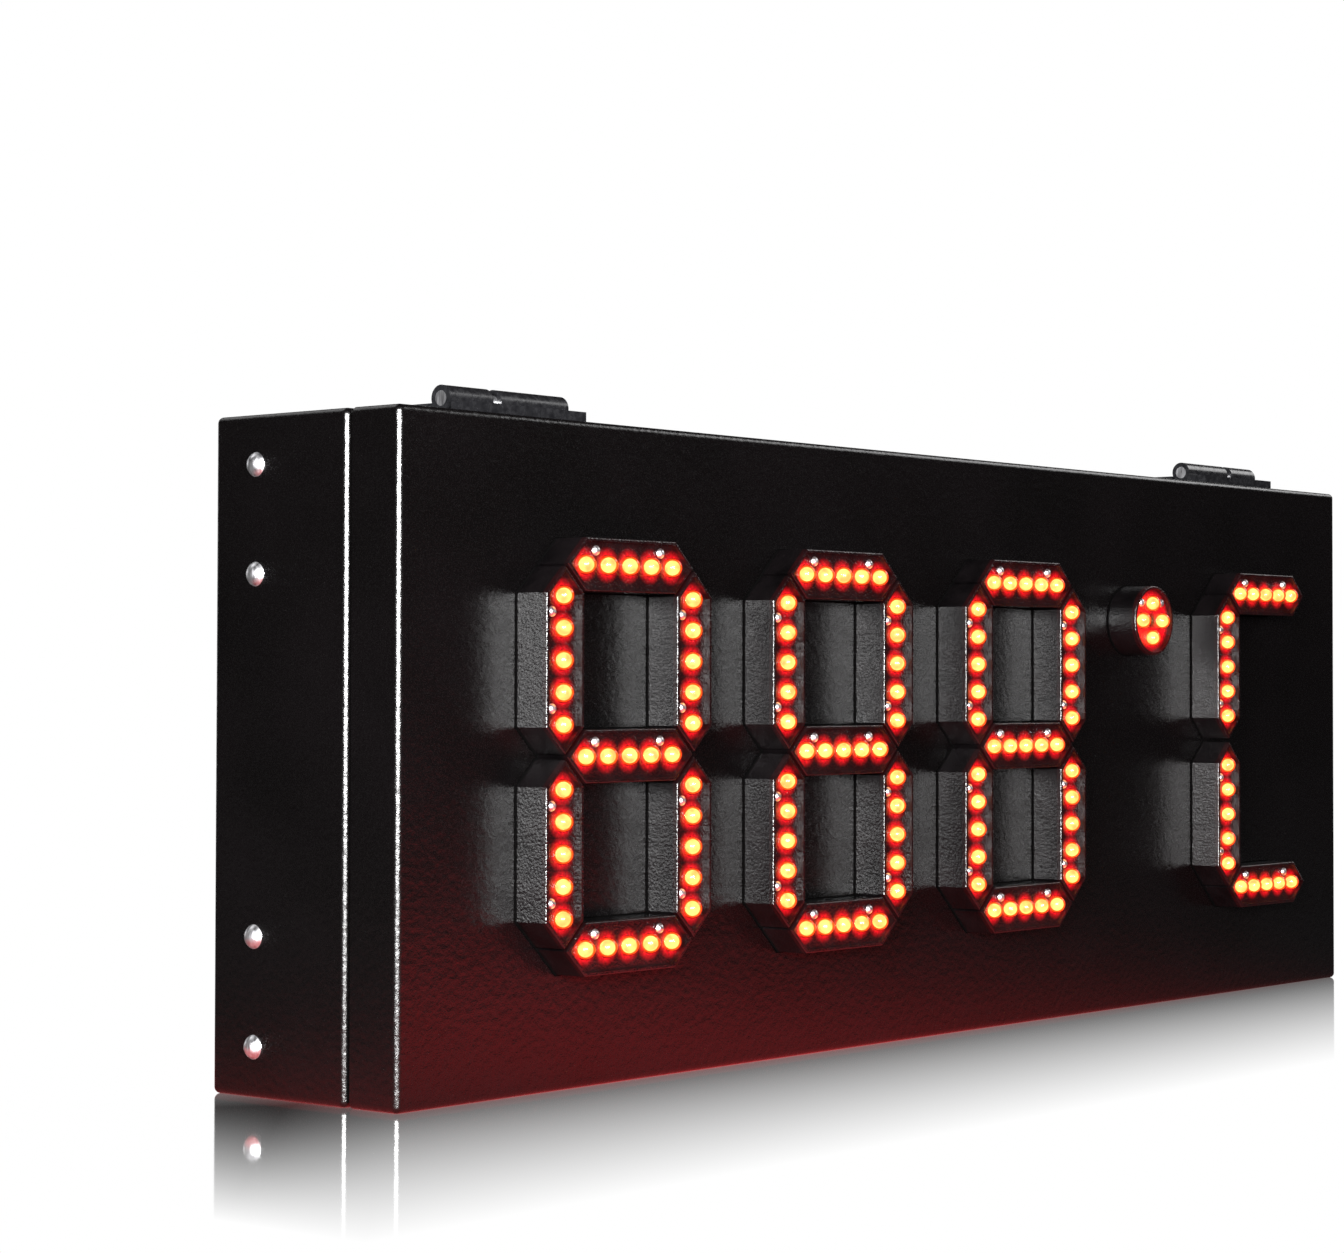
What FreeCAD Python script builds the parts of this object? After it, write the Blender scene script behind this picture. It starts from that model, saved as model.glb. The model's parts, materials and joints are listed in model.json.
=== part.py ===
import FreeCAD, Part
import Sketcher
import math
import os

# LED temperature sign: three seven-segment digits, a degree mark and a letter C,
# on the front panel of a shallow door that is hinged along the top of a wall cabinet.
# Millimetres, +Z up, the front faces -Y, the origin is the centre of the back face.

SIZES = [
    # cabinet and door, both folded from sheet steel
    ("cabinet_width", 692.0),
    ("cabinet_height", 264.0),
    ("body_depth", 75.5),
    ("seam_gap", 3.0),
    ("door_depth", 25.5),
    ("sheet_gauge", 1.5),
    ("fold_radius", 2.5),
    ("lip_width", 11.0),
    ("door_lip_width", 10.0),
    ("seal_inset", 3.5),
    ("seal_width", 7.5),
    ("seal_thickness", 2.7),
    # one segment: an elongated hexagonal cap, its face sunk behind a rim, with its LEDs in a row
    ("led_pitch", 12.5),
    ("segment_length", 73.0),
    ("segment_width", 21.0),
    ("segment_depth", 16.5),
    ("segment_wall", 1.6),
    ("segment_face", 1.6),
    ("segment_recess", 2.0),
    ("segment_rim", 1.4),
    ("segment_edge_radius", 0.6),
    ("led_radius", 4.0),
    ("led_stand", 3.0),
    ("led_clearance", 0.1),
    ("led_body_length", 8.0),
    ("led_board_thickness", 1.6),
    ("led_board_clearance", 0.2),
    ("segment_screw_offset", 5.6),
    ("segment_screw_radius", 1.0),
    ("segment_screw_hole_radius", 1.05),
    ("segment_screw_head_radius", 2.1),
    ("segment_screw_head_height", 1.5),
    ("segment_boss_radius", 1.9),
    ("wire_hole_radius", 3.0),
    # degree mark: a round cap with four LEDs
    ("degree_radius", 17.0),
    ("degree_led_ring", 8.5),
    ("degree_screw_reach", 8.8),
    # where the characters stand on the panel
    ("digit_one_centre", -236.5),
    ("digit_pitch", 135.0),
    ("degree_across", 141.0),
    ("degree_rise", 59.0),
    ("letter_across", 248.0),
    ("row_rise", -0.8),
    # hinges over the seam
    ("hinge_across", 266.0),
    ("hinge_length", 66.0),
    ("barrel_radius", 5.2),
    ("pin_radius", 3.0),
    ("pin_bore_radius", 3.05),
    ("pin_rise", 6.8),
    ("outer_knuckle", 23.5),
    ("knuckle_gap", 4.5),
    ("leaf_thickness", 5.0),
    ("front_leaf_depth", 15.0),
    ("rear_leaf_depth", 22.0),
    ("leaf_relief", 0.5),
    ("hinge_screw_across", 22.0),
    ("hinge_screw_radius", 2.0),
    ("hinge_screw_hole_radius", 2.1),
    ("hinge_screw_head_radius", 3.7),
    ("hinge_screw_head_depth", 2.0),
    ("hinge_screw_length", 11.0),
    # four domed screws on each side, in blind rivet nuts
    ("side_screw_inset", 24.0),
    ("side_screw_inner_rise", 70.0),
    ("side_screw_outer_rise", 112.5),
    ("side_screw_radius", 2.48),
    ("side_screw_length", 12.0),
    ("side_screw_head_radius", 4.75),
    ("side_screw_head_height", 3.0),
    ("rivet_nut_radius", 3.5),
    ("rivet_nut_hole_radius", 3.55),
    ("rivet_nut_bulge_radius", 5.0),
    ("rivet_nut_bulge_length", 3.0),
    ("rivet_nut_length", 10.0),
    ("rivet_nut_bore_radius", 2.5),
    # quarter-turn locks in the door's bottom flange
    ("lock_across", 239.5),
    ("lock_from_seam", 13.0),
    ("lock_barrel_radius", 8.0),
    ("lock_hole_radius", 8.1),
    ("lock_flange_radius", 9.5),
    ("lock_flange_thickness", 2.0),
    ("lock_barrel_height", 13.0),
    ("lock_core_radius", 4.0),
    ("lock_bore_radius", 4.05),
    ("lock_core_height", 18.5),
    ("lock_key_depth", 6.0),
    ("lock_key_size", 4.0),
    ("cam_thickness", 2.5),
    ("cam_hub_radius", 6.0),
    ("post_reach", 10.5),
    ("post_radius", 2.5),
    ("cam_play", 0.4),
    ("cam_finger_width", 3.2),
    ("striker_width", 30.0),
    ("striker_gauge", 2.0),
    ("striker_rise", 14.0),
    # wall holes in the back
    ("wall_hole_across", 280.0),
    ("wall_hole_rise", 90.0),
    ("wall_hole_radius", 3.25),
    # cable gland in the right side
    ("gland_from_back", 36.0),
    ("gland_rise", -95.0),
    ("gland_thread_radius", 7.9),
    ("gland_hole_radius", 8.0),
    ("gland_bore_radius", 4.5),
    ("gland_collar_flats", 20.0),
    ("gland_collar_length", 5.0),
    ("gland_dome_radius", 9.0),
    ("gland_dome_length", 12.0),
    ("gland_thread_length", 10.0),
    ("gland_nut_flats", 21.0),
    ("gland_nut_length", 4.0),
    # power supply and controller on the back wall
    ("supply_width", 159.0),
    ("supply_height", 97.0),
    ("supply_depth", 30.0),
    ("supply_across", -150.0),
    ("terminal_width", 16.0),
    ("terminal_height", 78.0),
    ("terminal_depth", 14.0),
    ("board_width", 130.0),
    ("board_height", 90.0),
    ("board_thickness", 1.6),
    ("board_across", 110.0),
    ("standoff_radius", 3.0),
    ("standoff_length", 10.0),
    ("standoff_inset", 6.0),
    ("chip_height", 3.0),
]

doc = FreeCAD.newDocument("LedTemperatureSign")
sheet = doc.addObject("Spreadsheet::Sheet", "Sizes")
for row, (alias, number) in enumerate(SIZES, start=1):
    sheet.set("A%d" % row, alias)
    sheet.set("B%d" % row, str(number))
    sheet.setAlias("B%d" % row, alias)
doc.recompute()

SIZE = {alias: getattr(sheet, alias) for alias, number in SIZES}
PARTS = []

SEAM_FRONT = -(SIZE["body_depth"] + SIZE["seam_gap"])
PANEL_Y = SEAM_FRONT - SIZE["door_depth"]
TOP_Z = SIZE["cabinet_height"] / 2
HINGE_Y = -(SIZE["body_depth"] + SIZE["seam_gap"] / 2)
HINGE_Z = TOP_Z + SIZE["pin_rise"]
LOCK_Y = SEAM_FRONT - SIZE["lock_from_seam"] + SIZE["sheet_gauge"]

TO_FRONT = FreeCAD.Rotation(FreeCAD.Vector(1, 0, 0), 90)
TO_LEFT = FreeCAD.Rotation(FreeCAD.Vector(0, 1, 0), -90)
TO_RIGHT = FreeCAD.Rotation(FreeCAD.Vector(0, 1, 0), 90)
UPRIGHT = FreeCAD.Rotation()


# ---- small tools -------------------------------------------------------------

def bound(text):
    """The expression with every alias pointed at the sheet."""
    words = []
    for word in text.split():
        words.append("Sizes." + word if word in SIZE else word)
    return " ".join(words)


def number(text):
    """The present value of an expression."""
    result = sheet.evalExpression(bound(text))
    return float(getattr(result, "Value", result))


def place(x, y, z, rotation=UPRIGHT):
    return FreeCAD.Placement(FreeCAD.Vector(x, y, z), rotation)


def keep(item, name):
    """Marks an object as one of the sub-parts."""
    item.Label = name
    PARTS.append(item)
    return item


def new_body(name, placement):
    body = doc.addObject("PartDesign::Body", name)
    body.Placement = placement
    return keep(body, name)


def new_sketch(body, role, offset=None):
    sketch = body.newObject("Sketcher::SketchObject", body.Name + "_outline")
    plane = next(item for item in body.Origin.OriginFeatures if item.Role == role)
    sketch.AttachmentSupport = [(plane, "")]
    sketch.MapMode = "FlatFace"
    if offset is not None:
        sketch.setExpression(".AttachmentOffset.Base.z", bound(offset))
    return sketch


def hold(sketch, kind, *where, expression):
    """Adds a dimension and binds it to the sheet."""
    index = sketch.addConstraint(Sketcher.Constraint(kind, *where, number(expression)))
    sketch.setExpression("Constraints[%d]" % index, bound(expression))


def hold_point(sketch, item, end, x, y):
    """Holds a point of an item at (x, y), both expressions."""
    for kind, text, axis in (("DistanceX", x, -2), ("DistanceY", y, -1)):
        if abs(number(text)) < 1e-9:
            sketch.addConstraint(Sketcher.Constraint("PointOnObject", item, end, axis))
        else:
            hold(sketch, kind, -1, 1, item, end, expression=text)


def add_polygon(sketch, corners):
    points = [FreeCAD.Vector(number(x), number(y), 0) for x, y in corners]
    count = len(points)
    first = sketch.GeometryCount
    for index, point in enumerate(points):
        sketch.addGeometry(Part.LineSegment(point, points[(index + 1) % count]))
    for index in range(count):
        after = first + (index + 1) % count
        sketch.addConstraint(Sketcher.Constraint("Coincident", first + index, 2, after, 1))
    for index, (x, y) in enumerate(corners):
        hold_point(sketch, first + index, 1, x, y)


def add_rectangle(sketch, half_width, half_height):
    corners = []
    for right, up in ((-1, -1), (1, -1), (1, 1), (-1, 1)):
        corners.append(("%d * ( %s )" % (right, half_width), "%d * ( %s )" % (up, half_height)))
    add_polygon(sketch, corners)


def add_circle(sketch, x, y, radius):
    centre = FreeCAD.Vector(number(x), number(y), 0)
    item = sketch.addGeometry(Part.Circle(centre, FreeCAD.Vector(0, 0, 1), number(radius)))
    hold(sketch, "Radius", item, expression=radius)
    hold_point(sketch, item, 3, x, y)


def pad(body, sketch, length):
    feature = body.newObject("PartDesign::Pad", body.Name + "_pad")
    feature.Profile = sketch
    feature.setExpression("Length", bound(length))
    return feature


def pocket(body, sketch, length, backwards=True):
    """Cuts along the sketch's normal, and checks that material went."""
    doc.recompute()
    before = body.Shape.Volume
    feature = body.newObject("PartDesign::Pocket", body.Name + "_pocket")
    feature.Profile = sketch
    feature.Reversed = backwards
    feature.setExpression("Length", bound(length))
    doc.recompute()
    if not body.Shape.Volume < before - 1e-6:
        raise RuntimeError("nothing was cut from " + body.Label)
    return feature


def round_edges(body, radius, wanted):
    doc.recompute()
    base = body.Tip
    names = ["Edge%d" % count for count, edge in enumerate(base.Shape.Edges, start=1) if wanted(edge)]
    feature = body.newObject("PartDesign::Fillet", body.Name + "_fillet")
    feature.Base = (base, names)
    feature.setExpression("Radius", bound(radius))


def cylinder(name, radius, height, placement):
    item = doc.addObject("Part::Cylinder", name)
    item.setExpression("Radius", bound(radius))
    item.setExpression("Height", bound(height))
    item.Placement = placement
    return item


def block(name, length, width, height, placement):
    item = doc.addObject("Part::Box", name)
    item.setExpression("Length", bound(length))
    item.setExpression("Width", bound(width))
    item.setExpression("Height", bound(height))
    item.Placement = placement
    return item


def cone(name, low_radius, high_radius, height, placement):
    item = doc.addObject("Part::Cone", name)
    item.setExpression("Radius1", bound(low_radius))
    item.setExpression("Radius2", bound(high_radius))
    item.setExpression("Height", bound(height))
    item.Placement = placement
    return item


def dome(name, radius, height):
    """A spherical cap on its flat base, centred on the origin and rising along +Z."""
    squares = "( %s ) * ( %s ) + ( %s ) * ( %s )" % (radius, radius, height, height)
    ball = "( %s ) / ( 2 * ( %s ) )" % (squares, height)
    item = doc.addObject("Part::Sphere", name)
    item.setExpression("Radius", bound(ball))
    item.setExpression("Angle1", bound("asin( 1 - ( %s ) / ( %s ) )" % (height, ball)))
    item.setExpression(".Placement.Base.z", bound("( %s ) - ( %s )" % (height, ball)))
    return item


def fuse(name, items):
    item = doc.addObject("Part::MultiFuse", name)
    item.Shapes = items
    return item


def cut(name, base, tool):
    item = doc.addObject("Part::Cut", name)
    item.Base = base
    item.Tool = tool
    return item


def scatter(name, master, spots):
    """A group of separate copies of one piece."""
    links = []
    for index, spot in enumerate(spots):
        link = doc.addObject("App::Link", "%s_%d" % (name, index))
        link.LinkedObject = master
        link.Placement = spot
        links.append(link)
    group = doc.addObject("Part::Compound", name)
    group.Links = links
    return keep(group, name)


def axis_edge(edge, direction):
    """Whether an edge is straight and runs along the direction."""
    if edge.Curve.TypeId != "Part::GeomLine":
        return False
    return abs(abs(edge.tangentAt(edge.FirstParameter).dot(direction)) - 1) < 1e-6


def lies_at(edge, depth):
    """Whether a whole edge lies in the plane y = depth of its own body."""
    box = edge.BoundBox
    return abs(box.YMin - depth) < 1e-4 and abs(box.YMax - depth) < 1e-4


# ---- the characters ----------------------------------------------------------

# Each segment is (letter, columns across, rows up, whether it stands upright),
# in steps of the LED grid from the centre of its character.
SEGMENTS = [
    ("a", 0, 6, False),
    ("b", 3, 3, True),
    ("c", 3, -3, True),
    ("d", 0, -6, False),
    ("e", -3, -3, True),
    ("f", -3, 3, True),
    ("g", 0, 0, False),
]
LEDS_IN_ROW = 5
LEDS_IN_RING = 4


def characters():
    """Each character's name, its centre and the segments it has."""
    for index in range(3):
        across = SIZE["digit_one_centre"] + index * SIZE["digit_pitch"]
        yield "digit_%d" % (index + 1), across, "abcdefg"
    yield "letter_c", SIZE["letter_across"], "adef"


def segment_spots(centre, letters):
    """Each segment's letter and its placement on the panel."""
    for letter, column, row, upright in SEGMENTS:
        if letter in letters:
            x = centre + column * SIZE["led_pitch"]
            z = SIZE["row_rise"] + row * SIZE["led_pitch"]
            yield letter, place(x, PANEL_Y, z, TO_LEFT if upright else UPRIGHT)


def led_columns():
    half = (LEDS_IN_ROW - 1) // 2
    return range(-half, half + 1)


def hexagon(sketch, inset):
    """An elongated hexagon with 45 degree points, its sides moved in by inset."""
    side = "( segment_width / 2 - ( %s ) )" % inset
    tip = "( segment_length / 2 - ( %s ) * sqrt( 2 ) )" % inset
    corners = [("-1 * %s" % tip, "0")]
    corners.append(("-1 * ( %s - %s )" % (tip, side), "-1 * %s" % side))
    corners.append(("%s - %s" % (tip, side), "-1 * %s" % side))
    corners.append((tip, "0"))
    corners.append(("%s - %s" % (tip, side), side))
    corners.append(("-1 * ( %s - %s )" % (tip, side), side))
    add_polygon(sketch, corners)


SCREW_COLUMNS = (-1.5, 1.5)

# How deep a housing is hollowed out from the panel's side.
HOLLOW_DEPTH = "segment_depth - segment_recess - segment_face"


def segment_housing(name, placement):
    """A hollow cap, open at the panel, with a sunk face, LED holes and two screw bosses."""
    body = new_body(name, placement)
    outline = new_sketch(body, "XZ_Plane")
    hexagon(outline, "0")
    pad(body, outline, "segment_depth")
    front = -SIZE["segment_depth"]
    round_edges(body, "segment_edge_radius", lambda edge: lies_at(edge, front))
    hollow = new_sketch(body, "XZ_Plane")
    hexagon(hollow, "segment_wall")
    pocket(body, hollow, HOLLOW_DEPTH)
    bosses = new_sketch(body, "XZ_Plane")
    for column in SCREW_COLUMNS:
        add_circle(bosses, "%s * led_pitch" % column, "segment_screw_offset", "segment_boss_radius")
    pad(body, bosses, HOLLOW_DEPTH + " + segment_face / 2")
    holes = new_sketch(body, "XZ_Plane")
    for column in led_columns():
        add_circle(holes, "%d * led_pitch" % column, "0", "led_radius + led_clearance")
    for column in SCREW_COLUMNS:
        add_circle(holes, "%s * led_pitch" % column, "segment_screw_offset", "segment_screw_hole_radius")
    pocket(body, holes, "segment_depth + 1")
    recess = new_sketch(body, "XZ_Plane", "segment_depth - segment_recess")
    hexagon(recess, "segment_rim")
    pocket(body, recess, "segment_recess + 1")


def degree_screws():
    """The two screws of the degree mark, on the diagonals between its LEDs."""
    for side in (-1, 1):
        yield "%d * degree_screw_reach" % side, "degree_screw_reach"


def degree_leds():
    for index in range(LEDS_IN_RING):
        angle = math.radians(90 * index)
        yield round(math.cos(angle)), round(math.sin(angle))


def degree_housing(name, placement):
    body = new_body(name, placement)
    outline = new_sketch(body, "XZ_Plane")
    add_circle(outline, "0", "0", "degree_radius")
    pad(body, outline, "segment_depth")
    front = -SIZE["segment_depth"]
    round_edges(body, "segment_edge_radius", lambda edge: lies_at(edge, front))
    hollow = new_sketch(body, "XZ_Plane")
    add_circle(hollow, "0", "0", "degree_radius - segment_wall")
    pocket(body, hollow, HOLLOW_DEPTH)
    bosses = new_sketch(body, "XZ_Plane")
    for x, y in degree_screws():
        add_circle(bosses, x, y, "segment_boss_radius")
    pad(body, bosses, HOLLOW_DEPTH + " + segment_face / 2")
    holes = new_sketch(body, "XZ_Plane")
    for right, up in degree_leds():
        add_circle(holes, "%d * degree_led_ring" % right, "%d * degree_led_ring" % up,
                   "led_radius + led_clearance")
    for x, y in degree_screws():
        add_circle(holes, x, y, "segment_screw_hole_radius")
    pocket(body, holes, "segment_depth + 1")
    recess = new_sketch(body, "XZ_Plane", "segment_depth - segment_recess")
    add_circle(recess, "0", "0", "degree_radius - segment_rim")
    pocket(body, recess, "segment_recess + 1")


def led_master():
    """One domed LED, from its foot on the board at the origin, rising along +Z."""
    barrel = cylinder("led_barrel", "led_radius", "led_body_length", place(0, 0, 0))
    cap = doc.addObject("Part::Sphere", "led_cap")
    cap.setExpression("Radius", bound("led_radius"))
    cap.setExpression(".Placement.Base.z", bound("led_body_length"))
    return fuse("led", [barrel, cap])


def led_depth():
    """How far in front of the panel an LED's foot stands."""
    return SIZE["segment_depth"] + SIZE["led_stand"] - SIZE["led_radius"] - SIZE["led_body_length"]


def board_master(name, outline):
    """One LED board, with its front at the origin and holes around the screw bosses."""
    body = doc.addObject("PartDesign::Body", name)
    shape = new_sketch(body, "XZ_Plane")
    outline(shape)
    pad(body, shape, "led_board_thickness")
    return body


def segment_board_outline(sketch):
    hexagon(sketch, "segment_wall + led_board_clearance")
    for column in SCREW_COLUMNS:
        add_circle(sketch, "%s * led_pitch" % column, "segment_screw_offset",
                   "segment_boss_radius + led_board_clearance")


def degree_board_outline(sketch):
    add_circle(sketch, "0", "0", "degree_radius - segment_wall - led_board_clearance")
    for x, y in degree_screws():
        add_circle(sketch, x, y, "segment_boss_radius + led_board_clearance")


def segment_screw_master():
    """A small domed screw, its head's flat at the origin, its shank along -Z."""
    head = dome("segment_screw_head", "segment_screw_head_radius", "segment_screw_head_height")
    length = "segment_depth - segment_recess + sheet_gauge + 2"
    shank = cylinder("segment_screw_shank", "segment_screw_radius", length, place(0, 0, 0))
    shank.setExpression(".Placement.Base.z", bound("-1 * ( %s )" % length))
    return fuse("segment_screw", [head, shank])


def build_characters():
    led = led_master()
    board = board_master("segment_led_board", segment_board_outline)
    round_board = board_master("degree_led_board", degree_board_outline)
    screw = segment_screw_master()
    board_front = led_depth() - SIZE["led_board_thickness"]
    face = SIZE["segment_recess"] - SIZE["segment_depth"]
    board_spots = []
    screw_spots = []
    for name, centre, letters in characters():
        led_spots = []
        for letter, spot in segment_spots(centre, letters):
            segment_housing("%s_segment_%s" % (name, letter), spot)
            for column in led_columns():
                local = place(column * SIZE["led_pitch"], -led_depth(), 0, TO_FRONT)
                led_spots.append(spot.multiply(local))
            board_spots.append(spot.multiply(place(0, -board_front, 0)))
            for column in SCREW_COLUMNS:
                across = column * SIZE["led_pitch"]
                local = place(across, face, SIZE["segment_screw_offset"], TO_FRONT)
                screw_spots.append(spot.multiply(local))
        scatter(name + "_leds", led, led_spots)
    degree = place(SIZE["degree_across"], PANEL_Y, SIZE["degree_rise"])
    degree_housing("degree_mark", degree)
    led_spots = []
    for right, up in degree_leds():
        ring = SIZE["degree_led_ring"]
        local = place(right * ring, -led_depth(), up * ring, TO_FRONT)
        led_spots.append(degree.multiply(local))
    scatter("degree_leds", led, led_spots)
    for x, y in degree_screws():
        local = place(number(x), face, number(y), TO_FRONT)
        screw_spots.append(degree.multiply(local))
    round_link = doc.addObject("App::Link", "degree_board_link")
    round_link.LinkedObject = round_board
    round_link.Placement = degree.multiply(place(0, -board_front, 0))
    boards = scatter("led_boards", board, board_spots)
    boards.Links = boards.Links + [round_link]
    scatter("segment_screws", screw, screw_spots)


# ---- cabinet and door --------------------------------------------------------

def folded_pan(body, depth, closed_at_front):
    """A pan folded from sheet: a rounded box that is hollow and open on one side."""
    outline = new_sketch(body, "XZ_Plane")
    add_rectangle(outline, "cabinet_width / 2", "cabinet_height / 2")
    pad(body, outline, depth)
    shut = -number(depth) if closed_at_front else 0.0
    along = FreeCAD.Vector(0, 1, 0)
    round_edges(body, "fold_radius", lambda edge: axis_edge(edge, along) or lies_at(edge, shut))
    hollow = new_sketch(body, "XZ_Plane", "0" if closed_at_front else "sheet_gauge")
    add_rectangle(hollow, "cabinet_width / 2 - sheet_gauge", "cabinet_height / 2 - sheet_gauge")
    pocket(body, hollow, "%s - sheet_gauge" % depth)


def add_lip(body, offset, width):
    """The sheet's edge, turned inward all round the open side."""
    ring = new_sketch(body, "XZ_Plane", offset)
    add_rectangle(ring, "cabinet_width / 2 - sheet_gauge / 2", "cabinet_height / 2 - sheet_gauge / 2")
    add_rectangle(ring, "cabinet_width / 2 - sheet_gauge - " + width,
                  "cabinet_height / 2 - sheet_gauge - " + width)
    pad(body, ring, "sheet_gauge")


def build_cabinet():
    body = new_body("cabinet_shell", place(0, 0, 0))
    folded_pan(body, "body_depth", False)
    add_lip(body, "body_depth - sheet_gauge", "lip_width")
    front = -SIZE["body_depth"]
    round_edges(body, "fold_radius", lambda edge: lies_at(edge, front) and is_outer_rim(edge))
    wall_holes = new_sketch(body, "XZ_Plane")
    for right in (-1, 1):
        for up in (-1, 1):
            add_circle(wall_holes, "%d * wall_hole_across" % right, "%d * wall_hole_rise" % up,
                       "wall_hole_radius")
    pocket(body, wall_holes, "sheet_gauge + 1")
    side_holes = new_sketch(body, "YZ_Plane", "-1 * cabinet_width / 2 - 1")
    for rise in side_screw_rises():
        add_circle(side_holes, "-1 * side_screw_inset", rise, "rivet_nut_hole_radius")
    pocket(body, side_holes, "cabinet_width + 2")
    gland_hole = new_sketch(body, "YZ_Plane", "cabinet_width / 2 - sheet_gauge - 1")
    add_circle(gland_hole, "-1 * gland_from_back", "gland_rise", "gland_hole_radius")
    pocket(body, gland_hole, "sheet_gauge + 2")
    top_holes = new_sketch(body, "XY_Plane", "cabinet_height / 2 - sheet_gauge - 1")
    for x in hinge_screw_places():
        add_circle(top_holes, x, REAR_SCREW_REACH + " - body_depth - seam_gap / 2",
                   "hinge_screw_hole_radius")
    pocket(body, top_holes, "sheet_gauge + 2")


def is_outer_rim(edge):
    """Whether an edge is on the outside of the cabinet's outline, not on the lip's inner edge."""
    box = edge.BoundBox
    half_width = SIZE["cabinet_width"] / 2
    half_height = SIZE["cabinet_height"] / 2
    reach_x = max(abs(box.XMin), abs(box.XMax))
    reach_z = max(abs(box.ZMin), abs(box.ZMax))
    return reach_x > half_width - 0.01 or reach_z > half_height - 0.01


def side_screw_rises():
    for name in ("side_screw_outer_rise", "side_screw_inner_rise"):
        for up in (1, -1):
            yield "%d * %s" % (up, name)


def build_door():
    body = new_body("door_pan", place(0, SEAM_FRONT, 0))
    folded_pan(body, "door_depth", True)
    add_lip(body, "0", "door_lip_width")
    panel = new_sketch(body, "XZ_Plane", "door_depth - sheet_gauge - 1")
    for name, centre, letters in characters():
        for letter, spot in segment_spots(centre, letters):
            add_circle(panel, str(spot.Base.x), str(spot.Base.z), "wire_hole_radius")
            for column in SCREW_COLUMNS:
                local = FreeCAD.Vector(column * SIZE["led_pitch"], 0, SIZE["segment_screw_offset"])
                point = spot.multVec(local)
                add_circle(panel, str(point.x), str(point.z), "segment_screw_hole_radius")
    add_circle(panel, "degree_across", "degree_rise", "wire_hole_radius")
    for x, y in degree_screws():
        add_circle(panel, "degree_across + " + x, "degree_rise + " + y, "segment_screw_hole_radius")
    pocket(body, panel, "sheet_gauge + 2")
    lock_holes = new_sketch(body, "XY_Plane", "-1 * cabinet_height / 2 - 1")
    for side in (-1, 1):
        add_circle(lock_holes, "%d * lock_across" % side, "sheet_gauge - lock_from_seam",
                   "lock_hole_radius")
    pocket(body, lock_holes, "sheet_gauge + 2")
    top_holes = new_sketch(body, "XY_Plane", "cabinet_height / 2 - sheet_gauge - 1")
    for x in hinge_screw_places():
        add_circle(top_holes, x, "seam_gap / 2 - " + FRONT_SCREW_REACH, "hinge_screw_hole_radius")
    pocket(body, top_holes, "sheet_gauge + 2")


def build_seal():
    """The foam seal in the seam, bonded to the cabinet's lip."""
    body = new_body("door_seal", place(0, 0, 0))
    ring = new_sketch(body, "XZ_Plane", "body_depth")
    add_rectangle(ring, "cabinet_width / 2 - seal_inset", "cabinet_height / 2 - seal_inset")
    add_rectangle(ring, "cabinet_width / 2 - seal_inset - seal_width",
                  "cabinet_height / 2 - seal_inset - seal_width")
    pad(body, ring, "seal_thickness")


# ---- hinges ------------------------------------------------------------------

# Where the leaf screws stand, from the hinge's axis.
REAR_SCREW_REACH = "( rear_leaf_depth + barrel_radius ) / 2"
FRONT_SCREW_REACH = "( front_leaf_depth + barrel_radius + leaf_relief ) / 2"


def hinge_screw_places():
    for side in (-1, 1):
        for right in (-1, 1):
            yield "%d * hinge_across + %d * hinge_screw_across" % (side, right)


def hinge_start(side, start, length):
    """The lowest x of a stretch of the hinge that begins at start from its outer end."""
    outer = side * (SIZE["hinge_across"] + SIZE["hinge_length"] / 2)
    return outer + start if side < 0 else outer - start - length


def countersunk_hole(name, x, y):
    """A screw hole through a leaf, with its countersink at the leaf's top."""
    top = TOP_Z + SIZE["leaf_thickness"]
    drill = cylinder(name + "_drill", "hinge_screw_hole_radius", "leaf_thickness + 2",
                     place(x, y, TOP_Z - 1))
    sink = cone(name + "_sink", "hinge_screw_hole_radius", "hinge_screw_head_radius + 0.05",
                "hinge_screw_head_depth", place(x, y, top - SIZE["hinge_screw_head_depth"]))
    return fuse(name, [drill, sink])


def hinge_leaf(name, side, toward, depth, knuckle_start, knuckle, reach):
    """A leaf with its knuckle: toward is 1 for the cabinet's leaf and -1 for the door's."""
    near = SIZE["barrel_radius"] + SIZE["leaf_relief"]
    far = SIZE[depth]
    low = hinge_start(side, 0, SIZE["hinge_length"])
    plate_y = HINGE_Y + near if toward > 0 else HINGE_Y - far
    plate = block(name + "_plate", "hinge_length", "%s - barrel_radius - leaf_relief" % depth,
                  "leaf_thickness", place(low, plate_y, TOP_Z))
    knuckle_low = hinge_start(side, number(knuckle_start), number(knuckle))
    link_y = HINGE_Y if toward > 0 else HINGE_Y - near
    link = block(name + "_link", knuckle, "barrel_radius + leaf_relief", "leaf_thickness",
                 place(knuckle_low, link_y, TOP_Z))
    barrel = cylinder(name + "_knuckle", "barrel_radius", knuckle,
                      place(knuckle_low, HINGE_Y, HINGE_Z, TO_RIGHT))
    solid = fuse(name + "_solid", [plate, link, barrel])
    cuts = [cylinder(name + "_bore", "pin_bore_radius", knuckle + " + 2",
                     place(knuckle_low - 1, HINGE_Y, HINGE_Z, TO_RIGHT))]
    for right in (-1, 1):
        x = side * SIZE["hinge_across"] + right * SIZE["hinge_screw_across"]
        y = HINGE_Y + toward * number(reach)
        cuts.append(countersunk_hole("%s_hole_%d" % (name, right + 1), x, y))
    keep(cut(name, solid, fuse(name + "_cuts", cuts)), name)


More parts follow.
